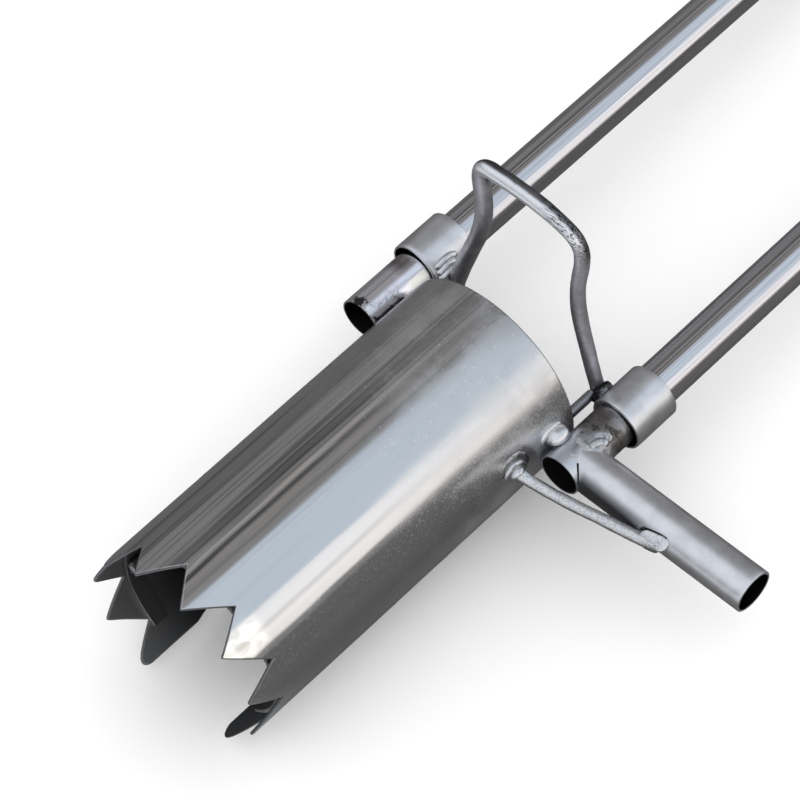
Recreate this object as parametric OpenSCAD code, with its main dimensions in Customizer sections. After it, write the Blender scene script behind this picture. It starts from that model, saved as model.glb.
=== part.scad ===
// Foot-driven seedling transplanter, lying as it is put down: barrel axis along Y, handle at +Y,
// teeth at -Y, bridge rod up, pedal to the right. Millimetres.
//
// A toothed barrel with a slot along its underside is pressed into the soil round a plant.
// A ring inside the barrel rides up with the soil core. It hangs on two push rods, which a
// bridge rod and two collars on the poles carry, and pushing the bridge down ejects the core.
//
// The modules draw in the tool's own frame: the barrel's rear rim is y = 0 and the poles' plane
// is z = 0. The module in_frame then puts the origin under the middle of the whole tool.

/* [Barrel] */
// Outer diameter of the barrel
barrel_od = 100; // [80:1:120]
// Thickness of the barrel's sheet
barrel_wall = 1.5; // [1:0.1:2.5]
// Length of the barrel from its rear rim to the tips of the teeth
barrel_len = 207; // [160:1:260]
// Number of teeth on a full turn, before the slot is cut
tooth_count = 11; // [8:1:14]
// Depth of the gaps between the teeth
tooth_depth = 17; // [8:1:24]
// Width of the flat that is left on the tip of a tooth
tooth_land = 1.2; // [0.6:0.1:3]
// Angle of one tooth gap, counted from the right over the top
tooth_turn = 94; // [88:1:98]
// Width of the slot along the underside
slot_w = 52; // [30:1:60]
// Radius of the slot's corners at the teeth
slot_corner = 4; // [2:0.5:6]

/* [Poles and pedal] */
// Outer diameter of the two poles and of the pedal
tube_od = 22; // [16:0.5:28]
// Wall of the poles and of the pedal
tube_wall = 1.2; // [0.8:0.1:2]
// Gap between the barrel and each pole, bridged by the welds
pole_gap = 1; // [0.5:0.1:3]
// Length of each pole below the barrel's rear rim
stub_len = 23.5; // [20:0.5:60]
// Distance from the barrel's rear rim to the middle of the handle bar
handle_rise = 750; // [500:5:900]
// Reach of the pedal from the middle of the barrel
pedal_reach = 167.5; // [120:0.5:190]
// Diameter of the brace between barrel and pedal
brace_d = 6; // [4:0.5:8]
// Distance of the brace's root below the barrel's rear rim
brace_root = 39.5; // [30:0.5:60]
// Height of the brace's root above the poles' plane
brace_root_up = 7; // [0:0.5:10]
// Distance of the brace's tip from the middle of the barrel
brace_tip = 119; // [100:1:140]
// Length of the poles' ends that stands past the pedal
pole_past_pedal = 0.5; // [0:0.1:5]

/* [Handle] */
// Outer diameter of the handle bar
bar_od = 25; // [22.5:0.5:32]
// Wall of the handle bar
bar_wall = 1.5; // [1:0.1:2.5]
// Length of the handle bar
bar_len = 400; // [340:5:600]
// Distance between the poles and the grips
grip_gap = 15.5; // [8:0.5:40]
// Wall of the grips
grip_wall = 3.5; // [2.5:0.1:6]
// Number of ribs round each grip
grip_ribs = 12; // [4:1:20]
// Height of the grips' ribs and end flange
grip_rib_h = 0.8; // [0.4:0.1:1.5]
// Width of the flange at each grip's inner end
grip_flange_w = 5; // [2:0.5:10]
// Width of the plain ring at each grip's closed end
grip_ring_w = 10; // [6:0.5:20]

/* [Ejector] */
// Length of the collars
collar_len = 26; // [16:1:40]
// Wall of the collars
collar_wall = 1.6; // [1:0.1:3]
// Gap round the pole inside each collar
collar_gap = 0.9; // [0.3:0.1:1.5]
// Distance of the collars above the barrel's rear rim at rest
collar_rest = 14; // [10:0.5:30]
// Diameter of the bridge rod
bridge_d = 8; // [6:0.5:10]
// Height of the bridge's crossbar above the poles' plane
bridge_h = 106; // [80:1:140]
// Height at which the legs of the bridge turn upright
bridge_lean_h = 60; // [40:1:70]
// Half the distance between the upright legs of the bridge
bridge_half = 29; // [24:0.5:34]
// Bend radius at the corners of the crossbar
bridge_corner_r = 12; // [8:0.5:16]
// Bend radius where the legs turn upright
bridge_lean_r = 60; // [20:5:80]
// Distance from the collars' lower ends to the plane of the bridge
bridge_up = 9; // [8.5:0.5:13]
// Length of the legs below the poles' plane
foot_drop = 3; // [2:0.5:6]
// Gap between the feet and the collars, bridged by the welds
foot_gap = 1.2; // [0.4:0.1:1.5]
// Gap between the push rods' ends and the feet, bridged by the welds
push_gap = 0.1; // [0.1:0.1:1]
// Diameter of the push rods
push_d = 5; // [4:0.5:6]
// Distance of the push rods' lower ends from the ring's lower edge
push_inset = 1; // [0:0.5:3]
// Gap between the ejector ring and the barrel
ring_gap = 0.5; // [0.3:0.1:1]
// Thickness of the ejector ring
ring_t = 2; // [1:0.1:3]
// Width of the ejector ring along the barrel
ring_w = 8; // [5:0.5:14]
// Distance that the ring's ends stay back from the slot
ring_back = 9; // [4:0.5:12]

/* [Welds] */
// Radius of the beads on the tubes
bead_r = 2.4; // [1.5:0.1:3]
// Radius of the beads between the barrel and the poles
barrel_bead_r = 5; // [3.5:0.1:6]
// Length of the beads between the barrel and the poles
barrel_bead_len = 7; // [0:1:10]
// Distance of the beads between the barrel and the poles from the barrel's rear rim
barrel_bead_inset = 1; // [0.5:0.5:5]
// Radius of the beads at the feet of the bridge
foot_bead_r = 3.8; // [3:0.1:4]
// Height of the beads at the feet above the poles' plane
foot_bead_up = 2; // [0:0.5:3]
// Radius of the beads at the brace's root
root_bead_r = 5.1; // [4:0.1:6]
// Radius of the beads at the brace's tip
tip_bead_r = 4.2; // [3.5:0.1:5]
// Radius of the beads on the ejector ring
ring_bead_r = 1.6; // [1:0.1:2]

/* [Hidden] */

$fn = 96;
// Sides of the bent rod, and the most degrees that one step of its bends takes
rod_sides = 24;
bend_step = 8;
left = -1;
right = 1;
// Extra length of a cutter past the face that it cuts
past = 5;
// Share of the ribs' pitch that a rib of a grip takes, and of the grip's wall that its end's edge rounds
rib_share = 0.55;
grip_ease = 0.8;
// Share of the collars' wall that is eased at their ends
collar_ease = 0.4;
// Shares of the brace's diameter that its ends sink into the barrel and into the pedal
root_sink = 0.25;
tip_sink = 0.33;
// Shares of the radius of the beads beside the poles: how far out and how far up they lie
barrel_bead_out = 0.7;
barrel_bead_up = 1.6;
// Lumps of the bead round the pedal, which leaves the pole's far side free, and half its turn
pedal_lumps = 19;
pedal_bead_turn = 100;
// Lumps of the bead round each pole at the handle bar
handle_lumps = 24;
// How far the beads at each foot stand off its leg's widest place, and their gap to the collar
foot_bead_side = 0.6;
foot_bead_gap = 0.2;
// Share of the push rods' radius at which the beads on the ring lie, and the ring's width left free
ring_bead_up = 1.2;
ring_bead_free = 1;

barrel_r = barrel_od / 2;
barrel_r_in = barrel_r - barrel_wall;
slot_half_turn = asin(slot_w / 2 / barrel_r);
// Depth of the underside below the poles' plane, where the edges of the slot lie
under = barrel_r * cos(slot_half_turn);

tube_r = tube_od / 2;
pole_x = barrel_r + pole_gap + tube_r;
pedal_y = -stub_len + pole_past_pedal + tube_r;

bar_r = bar_od / 2;
grip_r = bar_r + grip_wall + grip_rib_h;
grip_len = bar_len / 2 + grip_wall - pole_x - tube_r - grip_gap;

collar_r_in = tube_r + collar_gap;
collar_r = collar_r_in + collar_wall;
bridge_r = bridge_d / 2;
// The feet stand just clear of the collars, and the push rods' ends just clear of the feet
foot_x = pole_x - collar_r - bridge_r - foot_gap;
bridge_y = collar_rest + bridge_up;
// How far the legs lean inwards, and the ends of their centre lines' lower stretch
lean = foot_x - bridge_half;
foot = [foot_x + lean * foot_drop / bridge_lean_h, -foot_drop];
knee = [bridge_half, bridge_lean_h];

ring_r = barrel_r_in - ring_gap;
ring_r_in = ring_r - ring_t;
ring_half_turn = slot_half_turn + ring_back / ring_r * 180 / PI;
ring_y = tooth_depth - barrel_len;
push_r = push_d / 2;
push_x = ring_r_in - push_r;

// Middle of the whole tool along Y, for the origin
mid_y = (handle_rise + grip_r - barrel_len) / 2;

// Colours
steel = [0.74, 0.75, 0.78];
satin_steel = [0.66, 0.66, 0.69];
rod_steel = [0.55, 0.54, 0.57];
weld_steel = [0.62, 0.62, 0.66];
rubber_black = [0.1, 0.1, 0.11];

// The tool's own frame, moved so that the origin lies under the middle of the whole tool
module in_frame() {
    translate([0, -mid_y, under]) children();
}

// Solid cylinder along Y
module rod_y(r, y0, y1) {
    translate([0, y0, 0]) rotate([-90, 0, 0]) cylinder(r = r, h = y1 - y0);
}

// Tube along Y
module tube_y(r, wall, y0, y1) {
    difference() {
        rod_y(r, y0, y1);
        rod_y(r - wall, y0 - past, y1 + past);
    }
}

// Round rod between two points
module rod_between(a, b, r) {
    v = b - a;
    translate(a) rotate([0, acos(v.z / norm(v)), atan2(v.y, v.x)])
        cylinder(r = r, h = norm(v));
}

// Straight weld bead with round ends, along Y
module bead_y(r, len) {
    rod_y(r, -len / 2, len / 2);
    for (s = [-1, 1]) translate([0, s * len / 2, 0]) sphere(r = r);
}

// Everything drawn for the right-hand side, or its mirror image
module on_side(side) {
    mirror([side == left ? 1 : 0, 0, 0]) children();
}

// Unit vector, the turn between two directions in a plane, and a vector turned in a plane
function unit(v) = v / norm(v);
function turn(a, b) = atan2(a.x * b.y - a.y * b.x, a.x * b.x + a.y * b.y);
function turned(v, a) = [v.x * cos(a) - v.y * sin(a), v.x * sin(a) + v.y * cos(a)];

// Points of a round bend at b, on the way from a to c
function bend(a, b, c, r) =
    let (d = unit(b - a), t = turn(d, unit(c - b)), steps = ceil(abs(t) / bend_step),
        normal = sign(t) * [-d.y, d.x], centre = b - r * tan(abs(t) / 2) * d + r * normal)
    [for (i = [0:steps]) centre + turned(-r * normal, t * i / steps)];

// Path through the points, with a round bend of its own radius at each but the first and last
function rounded(points, radii) = let (last = len(points) - 1)
    [for (i = [0:last]) each i == 0 || i == last ? [points[i]]
        : bend(points[i - 1], points[i], points[i + 1], radii[i - 1])];

// Round rod that follows a path in the X-Z plane
module bent_rod(path, r) {
    last = len(path) - 1;
    rings = [for (i = [0:last])
        let (d = unit(path[min(i + 1, last)] - path[max(i - 1, 0)]), n = [-d.y, d.x])
        for (k = [0:rod_sides - 1])
            let (a = 360 * k / rod_sides, q = path[i] + r * cos(a) * n)
            [q.x, r * sin(a), q.y]];
    sides = [for (i = [0:last - 1], k = [0:rod_sides - 1])
        let (m = (k + 1) % rod_sides, lo = i * rod_sides, hi = lo + rod_sides)
        [lo + k, lo + m, hi + m, hi + k]];
    near_end = [for (k = [0:rod_sides - 1]) rod_sides - 1 - k];
    far_end = [for (k = [0:rod_sides - 1]) last * rod_sides + k];
    polyhedron(rings, concat(sides, [near_end, far_end]), convexity = 4);
}

// Chain of lumps where a branch tube along X meets a main tube along Y, at the origin
module saddle_beads(main_r, branch_r, r, angles) {
    for (a = angles) {
        reach = sqrt(max(0, main_r ^ 2 - (branch_r * sin(a)) ^ 2));
        translate([reach, branch_r * cos(a), branch_r * sin(a)]) sphere(r = r);
    }
}

// Barrel: rolled sheet, toothed at its mouth and slotted along its underside
module barrel() {
    pitch = 360 / tooth_count;
    gap_half = barrel_r * sin(pitch / 2) - tooth_land / 2;
    color(steel) in_frame() difference() {
        tube_y(barrel_r, barrel_wall, -barrel_len, 0);
        for (i = [0:tooth_count - 1]) rotate([0, -tooth_turn - i * pitch, 0])
            tooth_gap(gap_half);
        slot_cutter();
    }
}

// V-shaped gap between two teeth, cut outwards along +X
module tooth_gap(gap_half) {
    wide = gap_half * (tooth_depth + past) / tooth_depth;
    rotate([90, 0, 90]) linear_extrude(barrel_od)
        polygon([[tooth_depth - barrel_len, 0], [-barrel_len - past, wide], [-barrel_len - past, -wide]]);
}

// Slot along the underside, wider by its round corners at the mouth
module slot_cutter() {
    half = slot_w / 2;
    translate([0, 0, -barrel_r - past]) linear_extrude(barrel_r / 2 + past) difference() {
        translate([-half - slot_corner, -barrel_len - past])
            square([slot_w + 2 * slot_corner, barrel_len + 2 * past]);
        for (s = [-1, 1]) translate([s * (half + slot_corner), 0]) {
            translate([-slot_corner, slot_corner - barrel_len])
                square([2 * slot_corner, barrel_len + 2 * past]);
            translate([0, slot_corner - barrel_len]) circle(r = slot_corner);
        }
    }
}

// Pole: tube along the barrel's side, coped to the handle bar
module pole(side) {
    color(steel) in_frame() on_side(side) difference() {
        translate([pole_x, 0, 0]) tube_y(tube_r, tube_wall, -stub_len, handle_rise);
        bar_solid(bar_r);
    }
}

// Outside of the handle bar, for what is coped to it
module bar_solid(r) {
    translate([0, handle_rise, 0]) rotate([0, 90, 0]) cylinder(r = r, h = bar_len, center = true);
}

module handle_bar() {
    color(satin_steel) in_frame() difference() {
        bar_solid(bar_r);
        translate([0, handle_rise, 0]) rotate([0, 90, 0])
            cylinder(r = bar_r - bar_wall, h = bar_len + 2 * past, center = true);
    }
}

// Rubber grip: ribbed sleeve with a flange towards the poles and a plain ring round its closed end
module grip(side) {
    pitch = (grip_len - grip_flange_w - grip_ring_w) / (grip_ribs + 1 - rib_share);
    end_r = grip_wall * grip_ease;
    color(rubber_black) in_frame() on_side(side)
        translate([bar_len / 2 + grip_wall, handle_rise, 0]) rotate([0, -90, 0])
            difference() {
                union() {
                    rotate_extrude() {
                        square([grip_r - end_r, grip_ring_w]);
                        translate([0, end_r]) square([grip_r, grip_ring_w - end_r]);
                        translate([grip_r - end_r, end_r]) circle(r = end_r, $fn = 48);
                        square([bar_r + grip_wall, grip_len]);
                    }
                    for (i = [1:grip_ribs])
                        translate([0, 0, grip_ring_w + pitch * (i - rib_share)])
                            cylinder(r = grip_r, h = pitch * rib_share);
                    translate([0, 0, grip_len - grip_flange_w])
                        cylinder(r = grip_r, h = grip_flange_w);
                }
                translate([0, 0, grip_wall]) cylinder(r = bar_r, h = grip_len);
            }
}

// Pedal: tube square to the right pole, coped to it
module pedal_tube() {
    color(satin_steel) in_frame() difference() {
        translate([pole_x, pedal_y, 0]) rotate([0, 90, 0]) difference() {
            cylinder(r = tube_r, h = pedal_reach - pole_x);
            translate([0, 0, -past]) cylinder(r = tube_r - tube_wall, h = pedal_reach);
        }
        translate([pole_x, 0, 0]) rod_y(tube_r, -stub_len - past, handle_rise);
    }
}

// Ends of the brace's centre line: on the barrel's side, and on the pedal's lower side
brace_a = [sqrt(barrel_r ^ 2 - brace_root_up ^ 2) - brace_d * root_sink, -brace_root, brace_root_up];
brace_b = [brace_tip, pedal_y - tube_r + brace_d * tip_sink / 2, brace_root_up / 2];

module brace_solid() {
    rod_between(brace_a, brace_b, brace_d / 2);
}

module pedal_solid() {
    translate([pole_x, pedal_y, 0]) rotate([0, 90, 0]) cylinder(r = tube_r, h = pedal_reach);
}

module pedal_brace() {
    color(rod_steel) in_frame() difference() {
        brace_solid();
        rod_y(barrel_r, -barrel_len, past);
        pedal_solid();
    }
}

// Collar: sliding sleeve round a pole, with its outer edges eased
module collar(side) {
    ease = collar_wall * collar_ease;
    color(satin_steel) in_frame() on_side(side)
        translate([pole_x, collar_rest, 0]) rotate([-90, 0, 0])
        rotate_extrude() polygon([[collar_r_in, 0], [collar_r - ease, 0], [collar_r, ease],
            [collar_r, collar_len - ease], [collar_r - ease, collar_len], [collar_r_in, collar_len]]);
}

// Bridge: rod bent to a narrow arch over the plant, welded to both collars by its feet
module bridge_rod() {
    color(rod_steel) in_frame() translate([0, bridge_y, 0]) bent_rod(rounded(
        [foot, knee, [bridge_half, bridge_h], [-bridge_half, bridge_h], [-knee.x, knee.y], [-foot.x, foot.y]],
        [bridge_lean_r, bridge_corner_r, bridge_corner_r, bridge_lean_r]), bridge_r);
}

// Lower stretch of the right leg of the bridge, for what is welded to it
module leg_solid() {
    rod_between([foot.x, bridge_y, foot.y], [knee.x, bridge_y, knee.y], bridge_r);
}

// Push rod: from the ejector ring, over the barrel's rim, to the foot of the bridge
module push_solid() {
    translate([push_x, 0, 0])
        rod_y(push_r, ring_y + push_inset, bridge_y - bridge_r - push_gap);
}

module push_rod(side) {
    color(rod_steel) in_frame() on_side(side) push_solid();
}

// Ejector ring: flat strip bent to a ring that is open over the slot
module ejector_ring() {
    color(rod_steel) in_frame() translate([0, ring_y + ring_w, 0]) rotate([90, 0, 0])
        rotate([0, 0, ring_half_turn - 90]) rotate_extrude(angle = 360 - 2 * ring_half_turn)
            translate([ring_r_in, 0]) square([ring_t, ring_w]);
}

// Beads above and below the pole, in the valley beside the barrel
module pole_weld(side) {
    x = barrel_r + barrel_bead_r * barrel_bead_out;
    y = -barrel_bead_inset - barrel_bead_r - barrel_bead_len / 2;
    color(weld_steel) in_frame() on_side(side) difference() {
        for (up = [-1, 1]) translate([x, y, up * barrel_bead_r * barrel_bead_up])
            bead_y(barrel_bead_r, barrel_bead_len);
        rod_y(barrel_r, -barrel_len, past);
        translate([pole_x, 0, 0]) rod_y(tube_r, -stub_len - past, handle_rise);
    }
}

module pedal_weld() {
    color(weld_steel) in_frame() difference() {
        translate([pole_x, pedal_y, 0]) saddle_beads(tube_r, tube_r, bead_r,
            [for (i = [0:pedal_lumps - 1]) pedal_bead_turn * (2 * i / (pedal_lumps - 1) - 1)]);
        translate([pole_x, 0, 0]) rod_y(tube_r, -stub_len - past, handle_rise);
        pedal_solid();
    }
}

module brace_root_weld() {
    color(weld_steel) in_frame() difference() {
        translate(brace_a) sphere(r = root_bead_r);
        rod_y(barrel_r, -barrel_len, past);
        brace_solid();
    }
}

module brace_tip_weld() {
    color(weld_steel) in_frame() difference() {
        translate(brace_b) sphere(r = tip_bead_r);
        pedal_solid();
        brace_solid();
    }
}

module handle_weld(side) {
    color(weld_steel) in_frame() on_side(side) difference() {
        translate([pole_x, handle_rise, 0]) rotate([0, 0, -90])
            saddle_beads(bar_r, tube_r, bead_r, [for (i = [0:handle_lumps - 1]) 360 * i / handle_lumps]);
        bar_solid(bar_r);
        translate([pole_x, 0, 0]) rod_y(tube_r, -stub_len, handle_rise + bar_r);
    }
}

// Beads that join a foot of the bridge, its collar and its push rod
module foot_weld(side) {
    x = pole_x - sqrt((collar_r + foot_bead_gap + foot_bead_r) ^ 2 - foot_bead_up ^ 2);
    color(weld_steel) in_frame() on_side(side) difference() {
        for (end = [-1, 1])
            translate([x, bridge_y + end * (bridge_r + foot_bead_side), foot_bead_up])
                sphere(r = foot_bead_r);
        leg_solid();
        push_solid();
    }
}

// Beads on both sides of a push rod, on the inside of the ring
module ring_weld(side) {
    color(weld_steel) in_frame() on_side(side) difference() {
        for (up = [-1, 1])
            translate([ring_r_in - ring_bead_r, ring_y + ring_w / 2, up * push_r * ring_bead_up])
                bead_y(ring_bead_r, ring_w - 2 * ring_bead_r - ring_bead_free);
        push_solid();
        difference() {
            rod_y(ring_r + past, ring_y - past, ring_y + ring_w + past);
            rod_y(ring_r_in, ring_y - 2 * past, ring_y + ring_w + 2 * past);
        }
    }
}

barrel();
pole(left);  // left_pole
pole(right);  // right_pole
handle_bar();
grip(left);  // left_grip
grip(right);  // right_grip
pedal_tube();
pedal_brace();
collar(left);  // left_collar
collar(right);  // right_collar
bridge_rod();
push_rod(left);  // left_push_rod
push_rod(right);  // right_push_rod
ejector_ring();
pole_weld(left);  // left_pole_weld
pole_weld(right);  // right_pole_weld
pedal_weld();
brace_root_weld();
brace_tip_weld();
handle_weld(left);  // left_handle_weld
handle_weld(right);  // right_handle_weld
foot_weld(left);  // left_foot_weld
foot_weld(right);  // right_foot_weld
ring_weld(left);  // left_ring_weld
ring_weld(right);  // right_ring_weld
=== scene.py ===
# %% [markdown]
# # A seedling transplanter
#
# The tool lies on a pale table: a toothed steel barrel, two poles, a pedal, and a sliding bridge that
# pushes the soil core out. The CAD model already holds every piece at its real size. This lesson gives
# each piece its surface, and rebuilds the ones that a machine drawing can't describe: the hand-bent
# rod, the rolled sheet and the weld beads.

# %% Load the CAD frame
import math

import bpy
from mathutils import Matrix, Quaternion, Vector


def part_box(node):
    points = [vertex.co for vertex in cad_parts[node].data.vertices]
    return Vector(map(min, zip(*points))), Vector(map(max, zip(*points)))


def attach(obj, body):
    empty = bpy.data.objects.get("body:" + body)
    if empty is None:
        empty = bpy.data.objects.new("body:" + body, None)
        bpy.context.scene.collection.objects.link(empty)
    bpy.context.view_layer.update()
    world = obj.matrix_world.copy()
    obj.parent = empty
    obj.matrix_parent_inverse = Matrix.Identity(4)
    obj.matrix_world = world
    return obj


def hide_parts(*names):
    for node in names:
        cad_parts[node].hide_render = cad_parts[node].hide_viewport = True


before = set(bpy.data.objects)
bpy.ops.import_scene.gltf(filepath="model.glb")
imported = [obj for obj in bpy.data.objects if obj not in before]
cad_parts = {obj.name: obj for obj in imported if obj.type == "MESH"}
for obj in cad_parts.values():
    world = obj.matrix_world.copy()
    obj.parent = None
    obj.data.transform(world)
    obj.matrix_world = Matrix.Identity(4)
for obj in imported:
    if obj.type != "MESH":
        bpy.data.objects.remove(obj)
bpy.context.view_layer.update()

# %% [markdown]
# ## Where things are
#
# Every place below is measured from the middle of the barrel's rear rim, as a maker would measure it
# with a rule: x to the right, y towards the handle, z up. The driving sizes come from the CAD boxes,
# and the two wall thicknesses are those of the CAD model.

# %% Driving sizes and the tool's own frame
MM = 0.001
barrel_lo, barrel_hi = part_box("barrel")
pole_lo, pole_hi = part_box("right_pole")
pedal_lo, pedal_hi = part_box("pedal_tube")
collar_lo, collar_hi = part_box("right_collar")
bridge_lo, bridge_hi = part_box("bridge_rod")
grip_lo, grip_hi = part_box("right_grip")

RIM_Y = barrel_hi.y
BARREL_R = (barrel_hi.x - barrel_lo.x) / 2 / MM
BARREL_LEN = (barrel_hi.y - barrel_lo.y) / MM
AXIS_Z = barrel_hi.z - BARREL_R * MM
TUBE_R = (pole_hi.x - pole_lo.x) / 2 / MM
POLE_X = (pole_hi.x + pole_lo.x) / 2 / MM
PEDAL_Y = (pedal_hi.y + pedal_lo.y) / 2 / MM - RIM_Y / MM
COLLAR_Y = (collar_lo.y - RIM_Y) / MM
BRIDGE_Y = (bridge_hi.y + bridge_lo.y) / 2 / MM - RIM_Y / MM
HANDLE_Y = (grip_hi.y + grip_lo.y) / 2 / MM - RIM_Y / MM
TUBE_WALL = 1.2
SHEET_WALL = 1.5


def place(x, y, z):
    """A point in the scene from millimetres in the tool's own frame."""
    return Vector((x * MM, RIM_Y + y * MM, AXIS_Z + z * MM))


print(f"barrel {2 * BARREL_R:.0f} x {BARREL_LEN:.0f} mm, tubes {2 * TUBE_R:.0f} mm, poles at {POLE_X:.1f}")

# %% [markdown]
# ## The camera
#
# The camera comes first, because every later choice is judged through it. It stands on the pedal's
# side, before the teeth, and looks down at 57 degrees through a long lens. It was held about a degree
# and a half off level.

# %% Camera
EYE = place(667.5, -733.9, 1503.6)
AIM = place(-18.2, -43.1, 0)
ROLL = math.radians(-1.53)

camera = bpy.data.objects.new("camera", bpy.data.cameras.new("camera"))
bpy.context.scene.collection.objects.link(camera)
bpy.context.scene.camera = camera
camera.data.lens = 176.8
camera.location = EYE
camera.rotation_mode = "QUATERNION"
camera.rotation_quaternion = (AIM - EYE).to_track_quat("-Z", "Y") @ Quaternion((0, 0, 1), ROLL)
print(f"camera {(AIM - EYE).length:.2f} m from the tool")

# %% [markdown]
# ## Shader and geometry sums as Python
#
# A material is a sum of many small ideas: streaks, stains, wear. Wiring each Math node by hand hides
# the idea, so one small class wraps a socket and lets Python's operators add the nodes. The same class
# serves Geometry Nodes, where a sum moves points instead of mixing colours.


# %% Wrapped sockets
class Value:
    """An output socket. Python's operators on it add Math nodes to its tree."""

    def __init__(self, tree, socket):
        self.tree, self.socket = tree, socket

    def math(self, operation, *others):
        return self.tree.node("Math", {"operation": operation}, dict(enumerate((self, *others))))

    def __add__(self, other):
        return self.math("ADD", other)

    def __sub__(self, other):
        return self.math("SUBTRACT", other)

    def __rsub__(self, other):
        return self.tree.node("Math", {"operation": "SUBTRACT"}, {0: other, 1: self})

    def __mul__(self, other):
        return self.math("MULTIPLY", other)

    def __truediv__(self, other):
        return self.math("DIVIDE", other)

    def __rtruediv__(self, other):
        return self.tree.node("Math", {"operation": "DIVIDE"}, {0: other, 1: self})

    __radd__, __rmul__ = __add__, __mul__

    def rise(self, low, high):
        """0 below low, 1 above high, smooth between; it falls instead where low is above high."""
        ends = {"Value": self, "From Min": min(low, high), "From Max": max(low, high)}
        done = self.tree.node("MapRange", {"interpolation_type": "SMOOTHSTEP"}, ends)
        return 1 - done if low > high else done

    def near(self, middle, reach):
        """1 at the middle, falling smoothly to 0 at reach on both sides."""
        return (self - middle).math("ABSOLUTE").rise(reach, 0)

    def vector(self, operation, other):
        """A Vector Math node on two vectors; other may be three plain numbers."""
        return self.tree.node("VectorMath", {"operation": operation}, {0: self, 1: other})

    def scaled(self, amount):
        return self.tree.node("VectorMath", {"operation": "SCALE"}, {0: self, "Scale": amount})


class Tree:
    """A node tree that is filled one node at a time."""

    FAMILIES = ("ShaderNode",)

    def __init__(self, tree):
        self.tree, self.nodes, self.links = tree, tree.nodes, tree.links
        self.nodes.clear()

    def node(self, kind, settings=None, inputs=None, output=0):
        """Adds a node: its settings first, then a value or a link for each socket that is named."""
        family = next(f for f in self.FAMILIES if hasattr(bpy.types, f + kind))
        made = self.nodes.new(family + kind)
        for name, value in (settings or {}).items():
            if name == "stops":
                self.fill_ramp(made.color_ramp, value)
            else:
                setattr(made, name, value)
        for name, value in (inputs or {}).items():
            if isinstance(value, Value):
                self.links.new(value.socket, made.inputs[name])
            else:
                made.inputs[name].default_value = value
        return Value(self, made.outputs[output]) if made.outputs else None

    @staticmethod
    def fill_ramp(ramp, stops):
        while len(ramp.elements) < len(stops):
            ramp.elements.new(1)
        for element, (position, colour) in zip(ramp.elements, sorted(stops)):
            element.position = position
            element.color = (*colour, 1)

    def parts(self, vector):
        """The x, y and z of a vector."""
        return [self.node("SeparateXYZ", None, {0: vector}, i) for i in range(3)]

    def joined(self, x, y, z):
        return self.node("CombineXYZ", None, {0: x, 1: y, 2: z})

    def noise(self, at, scale, detail=2.0, rough=0.5, wander=0.0):
        """Smooth noise from 0 to 1, about 0.5."""
        sizes = {"Vector": at, "Scale": scale, "Detail": detail, "Roughness": rough, "Distortion": wander}
        return self.node("TexNoise", None, sizes)


print("a sum such as 1 - mask * 0.5 now adds its own Math nodes")

# %% [markdown]
# ## The light
#
# Polished steel shows nothing but its surroundings, so the light is the picture. A studio hangs long
# soft panels beside the tool, parallel to its poles: each panel becomes one clean band along every
# tube. From the right-hand horizon over the top come a warm and a white strip with a seam between
# them, a wide pale blue sheet, and then grey walls with a dark curtain and a dark flag. A window
# lights the teeth's end from high in front of it, on the camera's left. Only mirror rays see the
# panels and the window. The table gets plain white light from all sides.


# %% Colour mixing for shaders
class Finish(Tree):
    """A shader tree with the few mixes that a metal finish needs."""

    def mix(self, factor, a, b):
        """Colour a where factor is 0, and colour b where it is 1."""
        a, b = (v if isinstance(v, Value) else (*v, 1) for v in (a, b))
        return self.node("Mix", {"data_type": "RGBA"}, {"Factor": factor, 6: a, 7: b}, 2)

    def blend(self, factor, a, b):
        """Number a where factor is 0, and number b where it is 1."""
        return self.node("Mix", {"data_type": "FLOAT"}, {"Factor": factor, 2: a, 3: b}, 0)


print("mixes: colours with mix, numbers with blend")

# %% Panels and window
GREY, WARM, BLUE, WHITE = (1.0, 0.985, 0.98), (1.0, 0.965, 0.93), (0.80, 0.90, 1.0), (1.0, 1.0, 1.0)
# Panel: where it ends, in degrees from the right-hand horizon over the top; its light; its tint.
# The first panel starts straight below, where the table hides it.
LOWEST = -90
PANELS = [
    ("right wall", 7, 0.27, GREY),
    ("warm strip", 22, 1.24, WARM),
    ("strip seam", 27, 0.96, GREY),
    ("white strip", 42, 1.20, WHITE),
    ("blue sheet", 91, 0.86, BLUE),
    ("upper wall", 99, 0.30, GREY),
    ("roof beam", 103, 0.20, GREY),
    ("second wall", 111, 0.32, WARM),
    ("dark curtain", 117, 0.07, GREY),
    ("door", 122, 0.44, WARM),
    ("third wall", 128, 0.24, GREY),
    ("dark flag", 140, 0.12, GREY),
    ("left wall", 172, 0.24, GREY),
    ("low wall", 270, 0.14, GREY),
]
PANEL_EDGE = 1.2
BRIGHTEST = max(light for _, _, light, _ in PANELS)
# The window's soft edges, by the x, y and z of a mirror ray's direction: no light, full light
WINDOW_EDGES = ((0.75, 0.2), (0.36, 0.0), (0.12, 0.42))
WINDOW_LIGHT = (0.84, 0.88, 0.94)
WHITE_LIGHT = 1.3
print("panels:", ", ".join(name for name, _, _, _ in PANELS))


# %% Studio tent
def tent_colour(sky):
    """What a mirror ray sees, by its direction."""
    x, y, z = sky.parts(sky.node("TexCoord"))
    degrees = z.math("ARCTAN2", x) * (180 / math.pi)
    turn = (degrees + (360 - LOWEST)).math("MODULO", 360) / 360
    stops, start = [], LOWEST
    for _, end, light, tint in PANELS:
        colour = tuple(c * light / BRIGHTEST for c in tint)
        stops += [((edge - LOWEST) / 360, colour) for edge in (start + PANEL_EDGE, end - PANEL_EDGE)]
        start = end
    bands = sky.node("ValToRGB", {"stops": stops}, {0: turn}).scaled(BRIGHTEST)
    across, ahead, up = (part.rise(*edge) for part, edge in zip((x, y, z), WINDOW_EDGES))
    return sky.mix(ahead * up * across, bands, WINDOW_LIGHT)


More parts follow.
